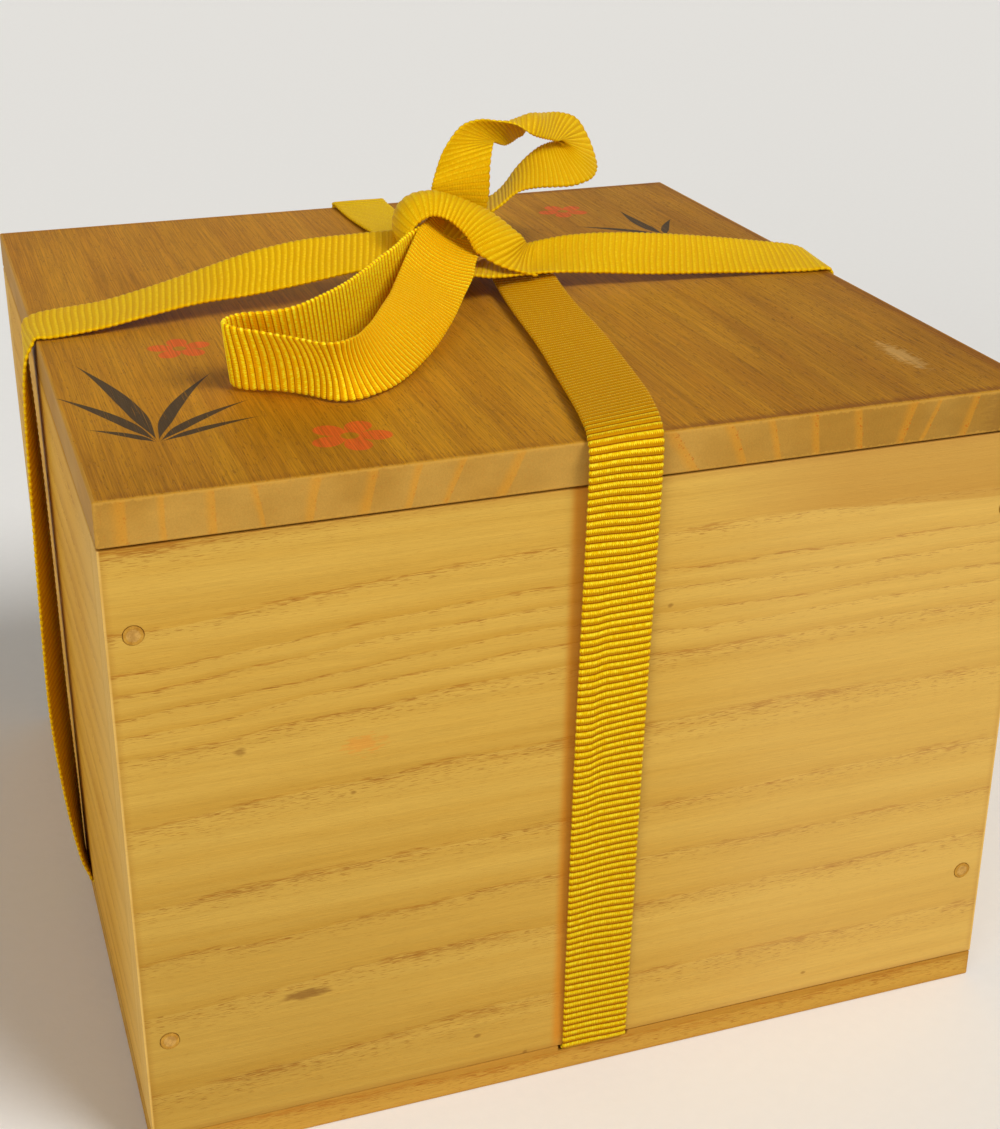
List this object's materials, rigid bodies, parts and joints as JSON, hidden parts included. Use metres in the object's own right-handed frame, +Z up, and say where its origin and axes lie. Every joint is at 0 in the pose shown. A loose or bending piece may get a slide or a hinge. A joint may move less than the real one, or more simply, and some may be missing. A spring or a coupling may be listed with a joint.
{
  "type": "storage box",
  "caption": "Square pegged wooden storage box with a flat lift-off lid, tied over the lid with a flat woven ribbon in a two-loop bow.",
  "frame": {"origin": "middle of the base board's underside", "axes": "+Z up, front wall towards -Y, +X to the right as seen from the front"},
  "size_m": [0.1673, 0.1656, 0.1527],
  "materials": {
    "board_wood": "bare planed wood, aged",
    "lid_wood": "bare planed wood, darkened by age and handling",
    "batten_wood": "bare planed wood",
    "peg_wood": "end grain, planed flush",
    "ribbon": "ribbed weave, soft sheen"
  },
  "bodies": {
    "box": {"base_board": "board_wood", "front_wall": "board_wood", "back_wall": "board_wood", "left_wall": "board_wood", "right_wall": "board_wood", "front_peg_1": "peg_wood", "front_peg_2": "peg_wood", "front_peg_3": "peg_wood", "front_peg_4": "peg_wood", "back_peg_1": "peg_wood", "back_peg_2": "peg_wood", "back_peg_3": "peg_wood", "back_peg_4": "peg_wood", "base_peg_1": "peg_wood", "base_peg_2": "peg_wood", "base_peg_3": "peg_wood", "base_peg_4": "peg_wood", "base_peg_5": "peg_wood", "base_peg_6": "peg_wood", "base_peg_7": "peg_wood", "base_peg_8": "peg_wood", "ribbon_floor_front_back": "ribbon", "ribbon_floor_left_right": "ribbon", "ribbon_side_front": "ribbon", "ribbon_side_back": "ribbon", "ribbon_side_left": "ribbon", "ribbon_side_right": "ribbon"},
    "lid": {"lid_board": "lid_wood", "lid_batten_front": "batten_wood", "lid_batten_back": "batten_wood", "lid_batten_left": "batten_wood", "lid_batten_right": "batten_wood", "batten_peg_1": "peg_wood", "batten_peg_2": "peg_wood", "batten_peg_3": "peg_wood", "batten_peg_4": "peg_wood", "batten_peg_5": "peg_wood", "batten_peg_6": "peg_wood", "batten_peg_7": "peg_wood", "batten_peg_8": "peg_wood", "ribbon_top_front": "ribbon", "ribbon_top_back": "ribbon", "ribbon_top_left": "ribbon", "ribbon_top_right": "ribbon", "bow_knot": "ribbon", "bow_loop_front": "ribbon", "bow_loop_back": "ribbon"}
  },
  "joints": [
    {"name": "lid_lift", "type": "slide", "parent": "box", "child": "lid", "axis": [0, 0, 1], "range_m": [0, 0.04], "deforming": ["ribbon_side_front", "ribbon_side_back", "ribbon_side_left", "ribbon_side_right"]}
  ]
}
